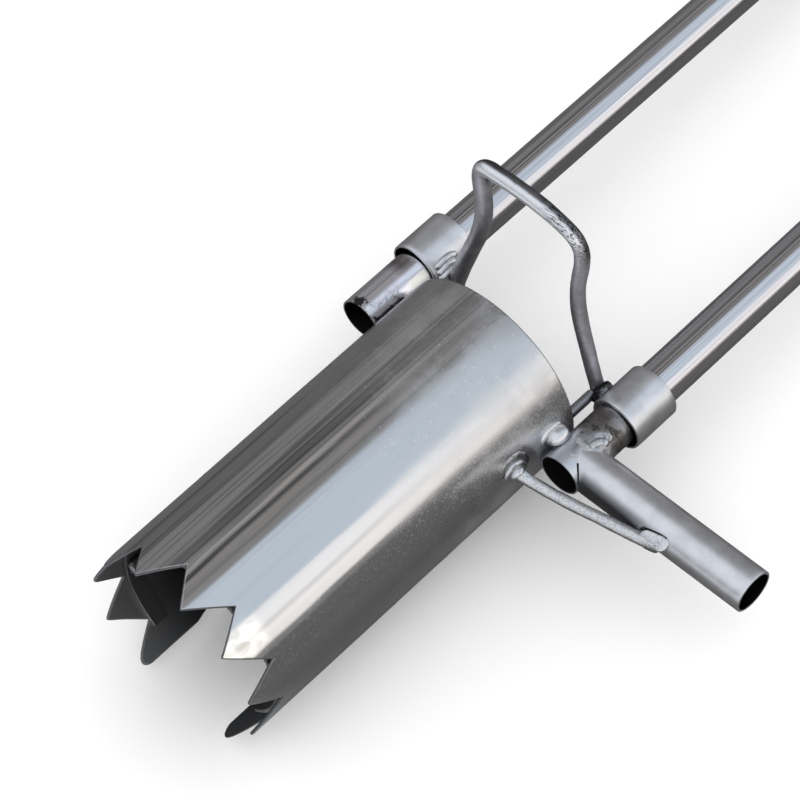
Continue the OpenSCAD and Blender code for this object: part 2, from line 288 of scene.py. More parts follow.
world = bpy.data.worlds.new("studio_tent")
world.use_nodes = True
bpy.context.scene.world = world
sky = Finish(world.node_tree)
mirror_ray = sky.node("LightPath", None, None, "Is Glossy Ray")
light = sky.mix(mirror_ray, (WHITE_LIGHT,) * 3, tent_colour(sky))
sky.node("OutputWorld", None, {0: sky.node("Background", None, {"Color": light})})
world.cycles.sampling_method = "NONE"
bpy.context.scene.view_settings.view_transform = "Standard"
print("sky nodes:", len(sky.nodes))

# %% [markdown]
# ## The table
#
# The tool lies on the rear edges of its slot and on its two grips, which are smaller than the barrel.
# So the table falls away by about two degrees towards the teeth, which stand a little clear of it.
# The camera sees it plain and pale. A mirror ray sees it dark near the tool and bright beyond the
# teeth, because the real steel is dark low on its sides and brighter where it faces forward.

# %% Table
TABLE_HALF = 4.0
PALE = (0.93, 0.93, 0.93)
# What mirror rays see: the tone near the tool, the tone beyond the teeth, and where it changes, in metres
NEAR_TONE, FAR_TONE, CHANGE = (0.125, 0.122, 0.120), (0.80, 0.84, 0.88), (-0.16, -0.26)
table_slope = math.atan2(grip_lo.z - barrel_lo.z, HANDLE_Y * MM)
corners = [(sx * TABLE_HALF, RIM_Y + sy * TABLE_HALF * math.cos(table_slope),
            barrel_lo.z + sy * TABLE_HALF * math.sin(table_slope))
           for sx, sy in ((-1, -1), (1, -1), (1, 1), (-1, 1))]
table_mesh = bpy.data.meshes.new("table")
table_mesh.from_pydata(corners, [], [(0, 1, 2, 3)])
table = bpy.data.objects.new("table", table_mesh)
bpy.context.scene.collection.objects.link(table)
table_paint = bpy.data.materials.new("table_paint")
table_paint.use_nodes = True
paint = Finish(table_paint.node_tree)
seen_in_metal = paint.node("LightPath", None, None, "Is Glossy Ray")
from_rim = paint.parts(paint.node("TexCoord", None, None, "Object"))[1] - RIM_Y
in_metal = paint.mix(from_rim.rise(*CHANGE), NEAR_TONE, FAR_TONE)
shade = paint.mix(seen_in_metal, PALE, in_metal)
paint.node("OutputMaterial", None, {0: paint.node("BsdfDiffuse", None, {"Color": shade})})
table_mesh.materials.append(table_paint)
print(f"table slopes {math.degrees(table_slope):.2f} degrees")

# %% [markdown]
# ## Metal finishes
#
# All the steel is stainless, but no two pieces wear alike. The barrel is polished sheet that soil has
# scoured dull on one side; the poles are drawn tube with fine lines along them and heat marks by the
# welds; collars and pedal are satin; the bent rod is dark, with a painted highlight on the front of its
# crossbar. Each finish below is one function of place, measured in millimetres in the tool's own frame.


# %% A metal to start from
def start_finish(name):
    """A new material's tree, and the place of a point in the tool's frame, in millimetres."""
    material = bpy.data.materials.new(name)
    material.use_nodes = True
    tree = Finish(material.node_tree)
    from_rim = tree.node("TexCoord", None, None, "Object").vector("SUBTRACT", (0, RIM_Y, AXIS_Z))
    return material, tree, from_rim.scaled(1 / MM)


def end_finish(tree, colour, rough, relief=None, depth_mm=0.1, metallic=1.0):
    """Closes a finish: a metal of this colour and roughness, with relief from 0 to 1 of a given depth."""
    inputs = {"Base Color": colour if isinstance(colour, Value) else (*colour, 1), "Metallic": metallic,
              "Roughness": rough}
    if relief is not None:
        bump = {"Height": relief, "Distance": depth_mm * MM, "Strength": 1.0}
        inputs["Normal"] = tree.node("Bump", None, bump)
    tree.node("OutputMaterial", None, {0: tree.node("BsdfPrincipled", None, inputs)})


print("a finish starts with start_finish and closes with end_finish")

# %% [markdown]
# ## The polished sheet
#
# Rolling and polishing leave lines along the barrel, so its noises are squeezed round it and drawn out
# along it. Towards the rear the polish is clouded. The right side is scoured and gritty. The shoulder
# on the left of the crown has painted dark and bright streaks of reflection, a dark line is painted as
# the shade of a crease, and one tooth has a painted bright reflection with a grey swirl. The bore is
# painted dark as shade. An image would stretch over the teeth; sums of place and noise don't, and
# they keep their size in millimetres.

# %% Polished sheet: where its marks are
polished_sheet, t, at = start_finish("polished_sheet")
x, y, z = t.parts(at)
out = (x * x + z * z).math("SQRT")
inside = out.rise(BARREL_R - 0.6, BARREL_R - 1.1)
cut_edge = t.node("Attribute", {"attribute_name": "edge"}, None, "Fac").rise(0.75, 0.4)
around = z.math("ARCTAN2", x) * BARREL_R
lines = t.noise(t.joined(around * 1.4, y * 0.012, 0.0), 1.0, 3.0, 0.65)
broad = t.noise(t.joined(around * 0.22, y * 0.004, 3.0), 1.0, 2.0)
streaks = t.noise(t.joined(around * 0.42, y * 0.006, 7.0), 1.0, 3.0, 0.6)
cloud = t.noise(at, 0.055, 4.0, 0.6, 0.4)
speck = t.noise(at.vector("MULTIPLY", (1, 0.6, 1)), 0.9, 2.0, 0.7).rise(0.60, 0.72)
rear = y.rise(-150, -10)
shoulder = around.near(92.0, 34.0)
scoured = z.rise(14, -4) * x.rise(0, 10)
dull = rear * 0.16 + rear * cloud.rise(0.42, 0.62) * 0.12 + scoured * 0.3
grit = t.noise(at, 0.8, 3.0, 0.7).rise(0.51, 0.70) * around.near(21.0, 18.0)
sheet_rough = 0.075 + dull + lines.rise(0.5, 0.8) * 0.06 + grit * 0.2 + inside * 0.4 + cut_edge * 0.3
worn = broad.rise(0.62, 0.3) * 0.16 + speck * rear * -0.06 + cloud.rise(0.55, 0.3) * rear * 0.10
# Painted reflection: the shoulder's dark and bright streaks stand in for the surroundings mirrored there
dark_streak_reflection = streaks.rise(0.50, 0.36) * shoulder * (0.75 - rear * 0.3)
gleam = streaks.rise(0.54, 0.64) * shoulder * 0.5
# Painted shade: a dark line where the sheet would crease; the shape itself has no crease
crease_shade = (around + lines * 2 - 1).near(115.6, 2.8) * y.rise(-70, -120)
chips = t.noise(at, 0.5, 2.0, 0.6).rise(0.655, 0.69) * y.rise(-150, -60) * around.near(78.0, 50.0)
# Painted reflection: filed marks one tooth that is painted bright with a grey swirl, as the reflection it
# shows
filed = y.rise(-181, -189) * around.near(40.0, 13.0)
reflection_swirl = t.noise(at.vector("MULTIPLY", (1, 0.6, 1)), 0.13, 1.0, 0.4, 1.6).rise(0.42, 0.62)
# Painted shade: deep marks the bore away from the mouth, which is painted darkest
deep = y.rise(-196, -160)
print("marks of the sheet:", len(t.nodes), "nodes")

# %% Polished sheet: its tones, from the ground up
GLEAM = (0.98, 0.97, 0.95)
tone = t.mix(worn + scoured * 0.12, (0.68, 0.68, 0.69), (0.42, 0.42, 0.43))
# Painted reflection: the shoulder's dark streaks, then its bright ones
tone = t.mix(dark_streak_reflection, tone, (0.22, 0.215, 0.215))
tone = t.mix(gleam, tone, GLEAM)
# Painted shade of the crease line
tone = t.mix(crease_shade * 0.8, tone, (0.27, 0.26, 0.26))
tone = t.mix(chips * 0.7, tone, GLEAM)
tone = t.mix(grit * 0.65, tone, (0.98, 0.94, 0.88))
# Painted reflection on the one tooth, bright with a grey swirl
tone = t.mix(filed, tone, t.mix(reflection_swirl, (1.0, 0.99, 0.96), (0.74, 0.73, 0.70)))
tone = t.mix(cut_edge * 0.92, tone, (0.08, 0.08, 0.083))
# Painted shade: the bore is painted dark, darker on the right and darkest away from the mouth
bore_shade = t.mix(x.rise(-8, 10), (0.26, 0.258, 0.26), (0.10, 0.10, 0.10))
bore_shade = t.mix(deep * 0.9, bore_shade, (0.045, 0.045, 0.047))
tone = t.mix(inside, tone, bore_shade)
relief = lines * 0.5 + cloud * rear * 0.5
end_finish(t, tone, sheet_rough, relief, 0.012)
print("polished_sheet:", len(t.nodes), "nodes")

# %% [markdown]
# ## The drawn tubes
#
# Both poles share one finish, so it has to tell the left from the right. Above the collars they are
# plain drawn tube. The stubs below them were heated: the weld to the barrel left soot along the seam.
# The left stub has a burnt spot at its mouth and a painted highlight on its side towards the barrel, a
# near-white patch that is hardly metallic. The right one is brown, with scale beside the pedal's weld
# and a painted shadow just below its collar. Their bores are painted dark as shade.

# %% Drawn pole tube: where its marks are
pole_steel, t, at = start_finish("pole_steel")
x, y, z = t.parts(at)
side = x.math("ABSOLUTE") - POLE_X
around = z.math("ARCTAN2", side) * TUBE_R
lines = t.noise(t.joined(around * 1.7, y * 0.008, x * 0.02), 1.0, 3.0, 0.6)
stub = y.rise(20, 6)
toward_barrel = side.rise(1, -6)
right_stub = x.rise(-10, 10)
scale_marks = t.noise(at, 0.2, 2.0, 0.5, 0.6).rise(0.46, 0.62)
soot = t.noise(at, 0.3, 4.0, 0.7, 0.8).rise(0.45, 0.62)
at_mouth = (y + 24).math("ABSOLUTE").rise(7, 1) * side.rise(5, -3)
seam = toward_barrel * y.rise(1, -7) * z.rise(13, 6) + at_mouth * 0.8
heat_side = t.blend(right_stub, side.rise(-5, 3), side.rise(7, -2))
heat = stub * y.rise(-1, 7) * heat_side * t.noise(at, 0.12, 3.0).rise(0.36, 0.5)
spot = (1 - right_stub) * y.near(-21.6, 6) * side.near(2.4, 6) * z.rise(4, 9)
behind = y.rise(-9, -3)
burnt_spot = (spot + soot * 0.45).rise(0.5, 0.75) * spot.rise(0.05, 0.2)
scaled = scale_marks * (right_stub * behind * 0.8)
burnt = stub * (scaled + seam * soot * (1 - right_stub * 0.8) + burnt_spot).math("MINIMUM", 1.0)
# Painted highlight: a near-white, hardly metallic patch on the left stub's side towards the barrel
highlight_breakup = t.noise(t.joined(around * 0.5, y * 0.05, 4.0), 1.0, 2.0).rise(0.30, 0.45)
stub_highlight = (1 - right_stub) * y.rise(0, 4) * y.rise(13.6, 12.6) * side.near(-8.2, 3.6).rise(0.2, 0.5) * highlight_breakup
# Painted shadow: the right pole is painted near black just below its collar's mouth
collar_mouth_shadow = stub * y.rise(10.2, 12.6) * side.rise(-6, 4) * right_stub * z.rise(12, 8)
bore = (side * side + z * z).math("SQRT").rise(TUBE_R - 0.4, TUBE_R - 0.9)
print("marks of the poles:", len(t.nodes), "nodes")

# %% Drawn pole tube: its tones, from the ground up
# Painted shade: the insides of the tubes are painted near black
BORE_SHADE = (0.022, 0.022, 0.023)
tone = t.mix(lines.rise(0.35, 0.7), (0.60, 0.59, 0.62), (0.78, 0.77, 0.80))
tone = t.mix(stub * (1 - right_stub), tone, (0.92, 0.90, 0.97))
tone = t.mix(stub * right_stub, tone, (0.66, 0.68, 0.72))
tone = t.mix(stub * right_stub * y.rise(-6, 0), tone, (0.24, 0.225, 0.22))
tone = t.mix(heat * (0.8 + right_stub * 0.05), tone, (0.17, 0.14, 0.13))
# Painted highlight on the left stub
tone = t.mix(stub_highlight * 0.9, tone, (1.0, 1.0, 0.94))
tone = t.mix(burnt, tone, (0.06, 0.052, 0.05))
# Painted shadow below the right collar
tone = t.mix(collar_mouth_shadow, tone, (0.03, 0.028, 0.027))
tone = t.mix(bore, tone, BORE_SHADE)
pole_rough = 0.11 + lines * 0.07 + stub * (0.1 + right_stub * 0.16) + burnt * 0.3 + bore * 0.4
end_finish(t, tone, pole_rough, lines * (1 - stub * 0.8), 0.012, metallic=1 - stub_highlight * 0.8)
print("pole_steel:", len(t.nodes), "nodes")

# %% [markdown]
# ## The smaller finishes
#
# The collars, the pedal and the handle bar are satin tube, with a painted shadow under the brace. The
# bridge rod has a painted highlight on the front of its crossbar and painted shade along its back edge,
# and it is scratched on its right bend; the push rods are painted darker. The ring is soiled, the brace
# is brushed and pitted, weld metal is bright where it is clean and black where it burnt, and the grips
# are rubber.

# %% Satin tube
satin_steel, t, at = start_finish("satin_steel")
x, y, z = t.parts(at)
grain = t.noise(at, 2.4, 4.0, 0.7)
cloud = t.noise(at, 0.11, 3.0, 0.55, 0.5)
tone = t.mix(cloud.rise(0.3, 0.7), (0.68, 0.68, 0.705), (0.80, 0.80, 0.825))
bore = t.node("Attribute", {"attribute_name": "bore"}, None, "Fac")
# Painted shadow: the pedal's lower side under the brace is painted dark
brace_shadow = (y - PEDAL_Y).rise(-5.5, -9.5) * x.rise(124, 100) * x.rise(70, 74) * y.rise(60, 40)
tone = t.mix(brace_shadow * 0.9, tone, (0.16, 0.16, 0.17))
# Painted shade in the bore
tone = t.mix(bore, tone, BORE_SHADE)
end_finish(t, tone, 0.33 + cloud * 0.06 + grain * 0.03, grain * 0.7 + cloud * 0.3, 0.012)
print("satin_steel:", len(t.nodes), "nodes")

# %% Worn rod
rod_steel, t, at = start_finish("rod_steel")
x, y, z = t.parts(at)
grain = t.noise(at, 1.6, 4.0, 0.65)
blotch = t.noise(at, 0.13, 3.0, 0.6, 0.8)
crossbar = z.rise(90, 99)
back = (y - BRIDGE_Y).rise(0.8, 2.2)
# Painted highlight: the front of the crossbar is painted light, and made a little smoother
crossbar_highlight = crossbar * (y - BRIDGE_Y).rise(-0.2, -1.6) * z.rise(98, 104)
scratch = t.noise(at.vector("MULTIPLY", (0.2, 1.0, 1.3)), 1.1, 3.0, 0.7).rise(0.53, 0.58)
scarred = scratch * (x.rise(2, 20) * z.rise(84, 98) + back * crossbar * 0.6).math("MINIMUM", 1.0)
# Painted shade: a dark band along the crossbar's back edge; the push rods, past the bridge towards the
# barrel, are painted darker as well
back_edge_shade = crossbar * (y - BRIDGE_Y + blotch * 3.0 - 1.5).rise(-1.5, 0.1)
back_shade_and_dark_rods = back_edge_shade * (0.8 + x.rise(-6, -24) * 0.2) + (y - BRIDGE_Y).rise(-3, -6) * 0.5
tone = t.mix(blotch.rise(0.3, 0.7), (0.50, 0.49, 0.515), (0.66, 0.65, 0.68))
# Painted highlight on the crossbar's front
tone = t.mix(crossbar_highlight, tone, (0.84, 0.84, 0.86))
# Painted shade on the crossbar's back edge, together with the dark scratches and the darker push rods
tone = t.mix((scarred * 0.85 + back_shade_and_dark_rods * 0.85).math("MINIMUM", 1.0), tone, (0.04, 0.04, 0.042))
end_finish(t, tone, 0.40 + grain * 0.1 - crossbar_highlight * 0.08, grain * 0.6 + blotch * 0.4 - scarred * 0.5, 0.08)
print("rod_steel:", len(t.nodes), "nodes")

# %% Soiled ring
ring_steel, t, at = start_finish("ring_steel")
x, y, z = t.parts(at)
crust = t.noise(at, 0.3, 4.0, 0.6)
face = (x * x + z * z).math("SQRT").rise(46.6, 46.1)
low_end = z.rise(-2, -36)
tone = t.mix(crust.rise(0.3, 0.7), (0.10, 0.098, 0.096), (0.17, 0.166, 0.162))
tone = t.mix(low_end, tone, (0.50, 0.49, 0.49))
tone = t.mix(face, tone, (0.10, 0.099, 0.098))
end_finish(t, tone, 0.5 + crust * 0.1, crust, 0.1)
print("ring_steel:", len(t.nodes), "nodes")

# %% Brushed brace
brace_steel, t, at = start_finish("brace_steel")
pits = t.noise(at.vector("MULTIPLY", (0.6, 1.0, 1.0)), 1.5, 4.0, 0.7)
tone = t.mix(pits.rise(0.38, 0.55), (0.50, 0.50, 0.51), (0.76, 0.76, 0.77))
end_finish(t, tone, 0.34 + pits * 0.12, pits, 0.08)
print("brace_steel:", len(t.nodes), "nodes")

# %% Weld metal and rubber
weld_metal, t, at = start_finish("weld_metal")
burn = t.node("Attribute", {"attribute_name": "burn"}, None, "Fac")
pits = t.noise(at, 0.9, 4.0, 0.7)
skin = t.noise(at, 0.35, 3.0, 0.6, 1.0)
soot = (burn * 1.5 + skin - 0.9).rise(0.0, 0.35)
folds = t.noise(at, 0.19, 1.0, 0.4, 0.9).near(0.5, 0.022) * burn.rise(0.02, 0.1)
tone = t.mix(pits.rise(0.3, 0.5), (0.62, 0.62, 0.645), (0.78, 0.78, 0.80))
tone = t.mix(burn.rise(0.02, 0.18) * 0.8, tone, (0.36, 0.365, 0.38))
tone = t.mix(folds * 0.75, tone, (0.10, 0.10, 0.105))
tone = t.mix(soot, tone, (0.025, 0.024, 0.024))
end_finish(t, tone, 0.28 + pits * 0.08 + soot * 0.25, pits * 0.4 + skin * 0.6 - folds * 0.8, 0.05)

black_rubber, t, at = start_finish("black_rubber")
grain = t.noise(at, 1.8, 3.0, 0.6)
dust = t.noise(at, 0.12, 3.0, 0.6).rise(0.5, 0.8)
tone = t.mix(dust * 0.3, (0.018, 0.018, 0.019), (0.07, 0.068, 0.064))
end_finish(t, tone, 0.55 + grain * 0.15, grain, 0.08, metallic=0.0)
print("finishes:", [m.name for m in bpy.data.materials])

# %% [markdown]
# ## A helper for Geometry Nodes
#
# The barrel, the rods and the weld beads follow rules, so Geometry Nodes make them. A recipe is a node
# group with named inputs. It is run on a starting mesh or on a guide line, and its result is then kept
# as a plain mesh, because the finished piece has to stand on its own.


# %% Recipes
class Recipe(Tree):
    """A Geometry Nodes group that is given named inputs and closes with a material."""

    FAMILIES = ("GeometryNode", "FunctionNode", "ShaderNode")

    def __init__(self, name):
        self.group = bpy.data.node_groups.new(name, "GeometryNodeTree")
        super().__init__(self.group)
        self.group.interface.new_socket("Geometry", in_out="OUTPUT", socket_type="NodeSocketGeometry")
        self.source = self.nodes.new("NodeGroupInput")

    def given(self, name, kind="Float"):
        self.group.interface.new_socket(name, in_out="INPUT", socket_type="NodeSocket" + kind)
        return Value(self, self.source.outputs[name])

    def attribute(self, name, kind="FLOAT"):
        return self.node("InputNamedAttribute", {"data_type": kind}, {"Name": name})

    def close(self, shape, before=None):
        """Smooth, with a material; joined to what came before where there is something."""
        shape = self.node("SetShadeSmooth", None, {0: shape})
        shape = self.node("SetMaterial", None, {0: shape, "Material": self.given("Finish", "Material")})
        shape = self.node("RealizeInstances", None, {0: shape})
        if before is not None:
            join = self.nodes.new("GeometryNodeJoinGeometry")
            for part in (shape, before):
                self.links.new(part.socket, join.inputs[0])
            shape = Value(self, join.outputs[0])
        self.links.new(shape.socket, self.nodes.new("NodeGroupOutput").inputs[0])

    def add_to(self, piece, values):
        modifier = piece.modifiers.new(self.group.name, "NODES")
        modifier.node_group = self.group
        for item in self.group.interface.items_tree:
            if item.in_out == "INPUT" and item.name in values:
                modifier[item.identifier] = values[item.name]


def new_piece(name, mesh=None):
    piece = bpy.data.objects.new(name, mesh or bpy.data.meshes.new(name))
    bpy.context.scene.collection.objects.link(piece)
    return piece


def keep_result(piece, guides=()):
    """Turns what the recipes made into a plain mesh, and removes the guide lines."""
    graph = bpy.context.evaluated_depsgraph_get()
    mesh = bpy.data.meshes.new_from_object(piece.evaluated_get(graph))
    mesh.name = piece.name
    piece.modifiers.clear()
    piece.data = mesh
    for guide in guides:
        bpy.data.objects.remove(guide)
    return len(mesh.polygons)


def hand_over(piece, body, slot, *nodes):
    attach(piece, body)
    if nodes:
        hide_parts(*nodes)


print("recipes are node groups with named inputs")

# %% [markdown]
# ## The barrel
#
# The maker cuts the sheet flat, teeth and all, and then rolls it. The teeth were filed by hand, so each
# has its own place and its own blunt tip, and the slot's edge wanders near the mouth. A CAD model keeps
# them even; here the flat sheet is laid out as it was cut, and a recipe rolls it.

# %% Flat pattern of the barrel
# Each tooth's tip: degrees from the right over the top, and how blunt it was left, in mm
TIPS = [(-52.5, 3.5), (-17, 1.5), (15.8, 1.0), (47.4, 0.5), (79.6, 0.4), (112.5, 0.5), (143.5, 2.0),
        (173.0, 3.5), (207.0, 0.9), (238.0, 4.0)]
# Each gap between them: degrees, and depth in mm
GAPS = [(-69, 17), (-34, 17.5), (-1.5, 18), (28.3, 19), (62.7, 18.8), (95.3, 17), (128.2, 15.8),
        (159, 16.5), (190.7, 15.6), (222.3, 16.8), (256, 17)]
SLOT_HALF = math.degrees(math.acos((AXIS_Z - barrel_lo.z) / MM / BARREL_R))
SLOT_RIGHT, SLOT_LEFT = -90 + SLOT_HALF, 270 - SLOT_HALF
PER_DEGREE = math.radians(1) * BARREL_R
# The slot's filed corners at the mouth, as radii in mm
RIGHT_CORNER, LEFT_CORNER = 4.0, 6.0
# How far the points that round the sheet's edge lie from it, in mm, and the widest column in degrees
EDGE_STEPS = (0.0, 0.05, 0.18, 0.38, 0.62, 0.9)
WIDEST_COLUMN = 1.25
STEEPEST = 3.0


def round_corner(distance, radius):
    """How far a filed corner cuts back at a distance from the slot, and its slope there."""
    if distance >= radius:
        return 0.0, 0.0
    half_width = math.sqrt(max(0.0001, radius ** 2 - (radius - distance) ** 2))
    return radius - half_width, min(STEEPEST, (radius - distance) / half_width)


def mouth_line(angle):
    """How far short of the full length the sheet stops at an angle, and its slope there."""
    teeth = [i for i in range(len(TIPS)) if GAPS[i][0] <= angle <= GAPS[i + 1][0]]
    tooth = min(teeth, key=lambda i: abs(TIPS[i][0] - angle))
    tip, blunt = TIPS[tooth]
    gap, depth = GAPS[tooth + 1] if angle > tip else GAPS[tooth]
    away, width = abs(angle - tip) * PER_DEGREE, abs(gap - tip) * PER_DEGREE
    reach = math.hypot(width, blunt) - blunt
    short = depth * (math.hypot(away, blunt) - blunt) / reach
    slope = depth / reach * away / math.hypot(away, blunt)
    for from_slot, radius in ((SLOT_LEFT - angle, LEFT_CORNER), (angle - SLOT_RIGHT, RIGHT_CORNER)):
        cut, cut_slope = round_corner(from_slot * PER_DEGREE, radius)
        short, slope = short + cut, max(slope, cut_slope)
    return short, slope


def pattern_columns():
    """The angles of the pattern's columns: close together at the slot, the tips and the gaps.

    A tip or gap within 2 degrees of the slot gets no column of its own.
    """
    marks = sorted(angle for angle, _ in TIPS + GAPS if SLOT_RIGHT + 2 < angle < SLOT_LEFT - 2)
    stops = [SLOT_RIGHT + EDGE_STEPS[-1] / PER_DEGREE, *marks, SLOT_LEFT - EDGE_STEPS[-1] / PER_DEGREE]
    columns = [SLOT_RIGHT + step / PER_DEGREE for step in EDGE_STEPS[:-1]]
    for start, end in zip(stops, stops[1:]):
        count = max(4, round((end - start) / WIDEST_COLUMN))
        columns += [start + (end - start) * (0.5 - 0.5 * math.cos(math.pi * i / count))
                    for i in range(count)]
    return columns + [SLOT_LEFT - step / PER_DEGREE for step in reversed(EDGE_STEPS)]


columns = pattern_columns()
print(f"{len(TIPS)} teeth, slot {2 * SLOT_HALF * PER_DEGREE:.0f} mm round, {len(columns)} columns")

# %% Lay out the pattern
# The rows crowd towards the mouth, and a point inside the sheet counts as this far from an edge, in mm
ROWS = 84
CROWDING = 1.4
FAR_FROM_EDGE = 9
# The slot's left edge wanders by this much: from this far before the rim, over this length, and the
# sheet beside it gives way over this width, all in mm
WANDER, WANDER_FROM, WANDER_RUN, WANDER_WIDTH = 3.4, 150, 22, 22


def left_slot_edge(y):
    """The slot's left edge wanders out towards the mouth, in mm."""
    return WANDER * min(1, max(0, (-y - WANDER_FROM) / WANDER_RUN)) ** 2


def pattern_mesh():
    """The flat sheet in metres: x round the barrel, y along it, with each point's distance to an edge."""
    points, edge = [], []
    for angle in columns:
        short, slope = mouth_line(angle)
        steep = math.hypot(1, slope)
        mouth = short - BARREL_LEN
        first, last = mouth + EDGE_STEPS[-1] * steep, -EDGE_STEPS[-1]
        rows = [(mouth + step * steep, step) for step in EDGE_STEPS[:-1]]
        rows += [(first + (last - first) * (i / ROWS) ** CROWDING, FAR_FROM_EDGE) for i in range(ROWS + 1)]
        rows += [(-step, step) for step in reversed(EDGE_STEPS[:-1])]
        along = math.radians(angle) * BARREL_R
        from_left = math.radians(SLOT_LEFT - angle) * BARREL_R
        from_right = math.radians(angle - SLOT_RIGHT) * BARREL_R
        for y, from_row_end in rows:
            shift = left_slot_edge(y) * max(0, 1 - from_left / WANDER_WIDTH)
            points.append(((along + shift) * MM, y * MM, 0))
            edge.append(min(from_row_end, from_left, from_right))
    deep = len(points) // len(columns)
    faces = [(c * deep + r, c * deep + r + 1, (c + 1) * deep + r + 1, (c + 1) * deep + r)
             for c in range(len(columns) - 1) for r in range(deep - 1)]
    mesh = bpy.data.meshes.new("barrel_sheet")
    mesh.from_pydata(points, [], faces)
    mesh.attributes.new("edge", "FLOAT", "POINT").data.foreach_set("value", edge)
    return mesh


barrel = new_piece("barrel_sheet", pattern_mesh())
print("flat pattern:", len(barrel.data.polygons), "faces")

# %% [markdown]
# ## Rolling it
#
# The recipe wraps the pattern round the barrel's axis twice, as an outer and an inner skin half a wall
# apart. Both draw together within half a wall of an edge, so the cut edges come out round and the
# skins close. A slow noise dents the wall, and one tooth is bent in a little at its tip.

# %% Roll the sheet
# Points closer than this, in metres, become one
ONE_POINT = 0.000004
# The bent tooth: its middle and half its width in degrees, and how far from the mouth it bends, in mm
BENT_TOOTH, TOOTH_HALF, BEND_FROM = 45.0, 17, 19
roll = Recipe("roll_sheet")
sheet = roll.given("Sheet", "Geometry")
radius, wall = roll.given("Radius"), roll.given("Wall")
dent, seed = roll.given("Dent"), roll.given("Seed")
bend, bend_at = roll.given("Bend"), roll.given("Bend At")
gap_line = roll.given("Gap Line")
arc, y, _ = roll.parts(roll.node("InputPosition"))
angle = arc / radius
to_edge = (roll.attribute("edge") * MM / (wall / 2)).math("MINIMUM", 1.0)
half = (1 - (1 - to_edge) * (1 - to_edge)).math("MAXIMUM", 0.0).math("SQRT") * (wall / 2)
wave = roll.noise(roll.joined(angle * 1.3 + seed, y * 9, 0.0), 1.0, 2.0) - 0.5
past_gap = (gap_line - y).math("MAXIMUM", 0.0)
one_tooth = (angle * (180 / math.pi)).near(bend_at, TOOTH_HALF)
middle = radius - wall / 2 + wave * dent - past_gap * past_gap * one_tooth * bend
skins = []
for way in (1, -1):
    reach = middle + half * way
    rolled = roll.joined(reach * angle.math("COSINE"), y, reach * angle.math("SINE"))
    skin = roll.node("SetPosition", None, {0: sheet, "Position": rolled})
    skins.append(skin if way == 1 else roll.node("FlipFaces", None, {0: skin}))
join = roll.nodes.new("GeometryNodeJoinGeometry")
for skin in skins:
    roll.links.new(skin.socket, join.inputs[0])
shell = roll.node("MergeByDistance", None, {0: Value(roll, join.outputs[0]), "Distance": ONE_POINT})
shell = roll.node("Transform", None, {0: shell, "Translation": (0, RIM_Y, AXIS_Z)})
roll.close(shell)
roll.add_to(barrel, {"Radius": BARREL_R * MM, "Wall": SHEET_WALL * MM, "Dent": 0.5 * MM, "Seed": 3.0,
                     "Bend": 1.8, "Bend At": BENT_TOOTH, "Gap Line": (BEND_FROM - BARREL_LEN) * MM,
                     "Finish": polished_sheet})
print("barrel faces:", keep_result(barrel))
hand_over(barrel, "frame", "polished_stainless", "barrel")

# %% [markdown]
# ## Bent rods
#
# The bridge was bent by hand round a pipe: its left corner is tighter and higher than its right, and
# the legs lean and wander. A guide line through measured places carries the rod's thickness, and one
# recipe sweeps both rods: a smooth curve through the places, a circle along it, and small dents.

# %% Rod recipe
sweep = Recipe("sweep_rod")
guide = sweep.given("Guide", "Object")
radius, step = sweep.given("Radius"), sweep.given("Step")
lumps, lump_size = sweep.given("Lumps"), sweep.given("Lump Size")
path = sweep.node("ObjectInfo", {"transform_space": "RELATIVE"}, {"Object": guide}, "Geometry")
path = sweep.node("MeshToCurve", None, {0: path})
path = sweep.node("CurveSplineType", {"spline_type": "CATMULL_ROM"}, {0: path})
path = sweep.node("ResampleCurve", {"mode": "LENGTH"}, {0: path, "Length": step})
ring = sweep.node("CurvePrimitiveCircle", None, {"Resolution": 24, "Radius": radius})
girth = sweep.attribute("girth")
tube = sweep.node("CurveToMesh", None, {0: path, 1: ring, "Scale": girth, "Fill Caps": True})
spot = sweep.node("InputPosition")
bumps = sweep.noise(spot.vector("ADD", (5, 2, 1)).scaled(1 / MM), 1.0 / 8.0, 3.0) - 0.5
bumps = bumps + (sweep.noise(spot.scaled(1 / lump_size), 1.0, 2.0) - 0.5) * 0.5
push = sweep.node("InputNormal").scaled(bumps * lumps)
tube = sweep.node("SetPosition", None, {0: tube, "Offset": push})
sweep.close(tube)


def guide_line(name, points, attribute, values, kind=("FLOAT", "value")):
    """A line of connected points in the tool's frame, with one number or vector at each."""
    mesh = bpy.data.meshes.new(name)
    mesh.from_pydata([place(*p) for p in points], [(i, i + 1) for i in range(len(points) - 1)], [])
    mesh.attributes.new(attribute, kind[0], "POINT").data.foreach_set(kind[1], values)
    return new_piece(name, mesh)


def swept_rod(name, points, radius, finish, lumps, lump_size):
    """A rod from (x, y, z, girth) rows, where girth 1 is the full thickness."""
    line = guide_line(name + "_guide", [p[:3] for p in points], "girth", [p[3] for p in points])
    rod = new_piece(name)
    sweep.add_to(rod, {"Guide": line, "Radius": radius * MM, "Step": 0.9 * MM, "Lumps": lumps * MM,
                       "Lump Size": lump_size * MM, "Finish": finish})
    print(name, "faces:", keep_result(rod, [line]))
    return rod


